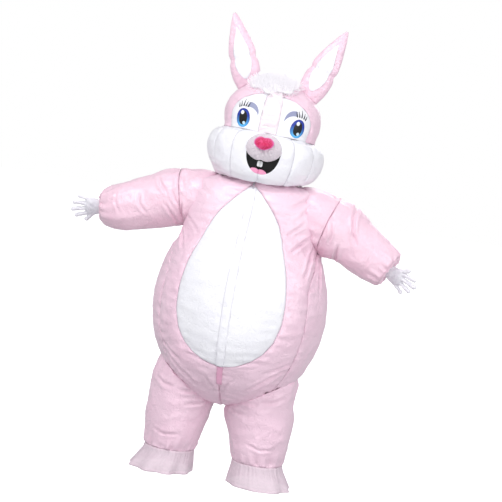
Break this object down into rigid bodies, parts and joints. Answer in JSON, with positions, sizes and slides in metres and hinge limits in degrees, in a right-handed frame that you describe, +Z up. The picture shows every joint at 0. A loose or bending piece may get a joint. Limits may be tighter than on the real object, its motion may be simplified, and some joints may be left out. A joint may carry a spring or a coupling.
{
  "type": "rabbit mascot costume",
  "caption": "Inflated full-body rabbit costume with a round belly panel, front zip, white gloves, upright ears, muzzle window and flared ankle ruffles.",
  "frame": {"origin": "midway between the wearer's shoulders, 1.34 m above the hem", "axes": "+Z up, the face and zip look towards -Y, +X to the viewer's right"},
  "size_m": [1.5989, 0.6922, 2.0862],
  "materials": {
    "pink_nylon": "satin",
    "light_pink_nylon": "satin",
    "hot_pink_nylon": "satin",
    "white_nylon": "satin",
    "white_knit": "matt",
    "sheer_pink": "sheer",
    "clear_film": "gloss",
    "crimson_plush": "plush",
    "white_fur": "long pile",
    "zip_metal": "satin"
  },
  "bodies": {
    "suit": {"back_left": "pink_nylon", "back_right": "pink_nylon", "belly_left": "white_nylon", "belly_right": "white_nylon", "brow_strip": "light_pink_nylon", "cheek_front_left": "white_nylon", "cheek_front_right": "white_nylon", "cheek_mid_left": "white_nylon", "cheek_mid_right": "white_nylon", "cheek_side_left": "white_nylon", "cheek_side_right": "white_nylon", "cuff_left": "light_pink_nylon", "cuff_right": "light_pink_nylon", "ear_back_left": "pink_nylon", "ear_back_right": "pink_nylon", "ear_front_left": "pink_nylon", "ear_front_right": "pink_nylon", "ear_inner_left": "white_nylon", "ear_inner_right": "white_nylon", "eye_patch_left": "white_nylon", "eye_patch_right": "white_nylon", "flounce_left": "sheer_pink", "flounce_right": "sheer_pink", "front_left": "pink_nylon", "front_right": "pink_nylon", "glove_left": "white_knit", "glove_right": "white_knit", "hair_tuft": "white_fur", "head_back_left": "pink_nylon", "head_back_right": "pink_nylon", "head_side_left": "pink_nylon", "head_side_right": "pink_nylon", "leg_left": "pink_nylon", "leg_right": "pink_nylon", "muzzle_window": "clear_film", "nose": "crimson_plush", "shoulder_left": "light_pink_nylon", "shoulder_right": "light_pink_nylon", "side_left": "pink_nylon", "side_right": "pink_nylon", "sleeve_left": "light_pink_nylon", "sleeve_right": "light_pink_nylon", "zip_placket": "white_nylon", "zip_placket_end": "hot_pink_nylon", "zip_slider": "zip_metal"},
    "zip_pull": {"pull_tab": "zip_metal"}
  },
  "joints": [
    {"name": "pull_tab_swing", "type": "hinge", "parent": "suit", "child": "zip_pull", "pos_m": [0, -0.1617, -0.0009], "axis": [-1, 0, 0], "range_deg": [0, 60]}
  ]
}
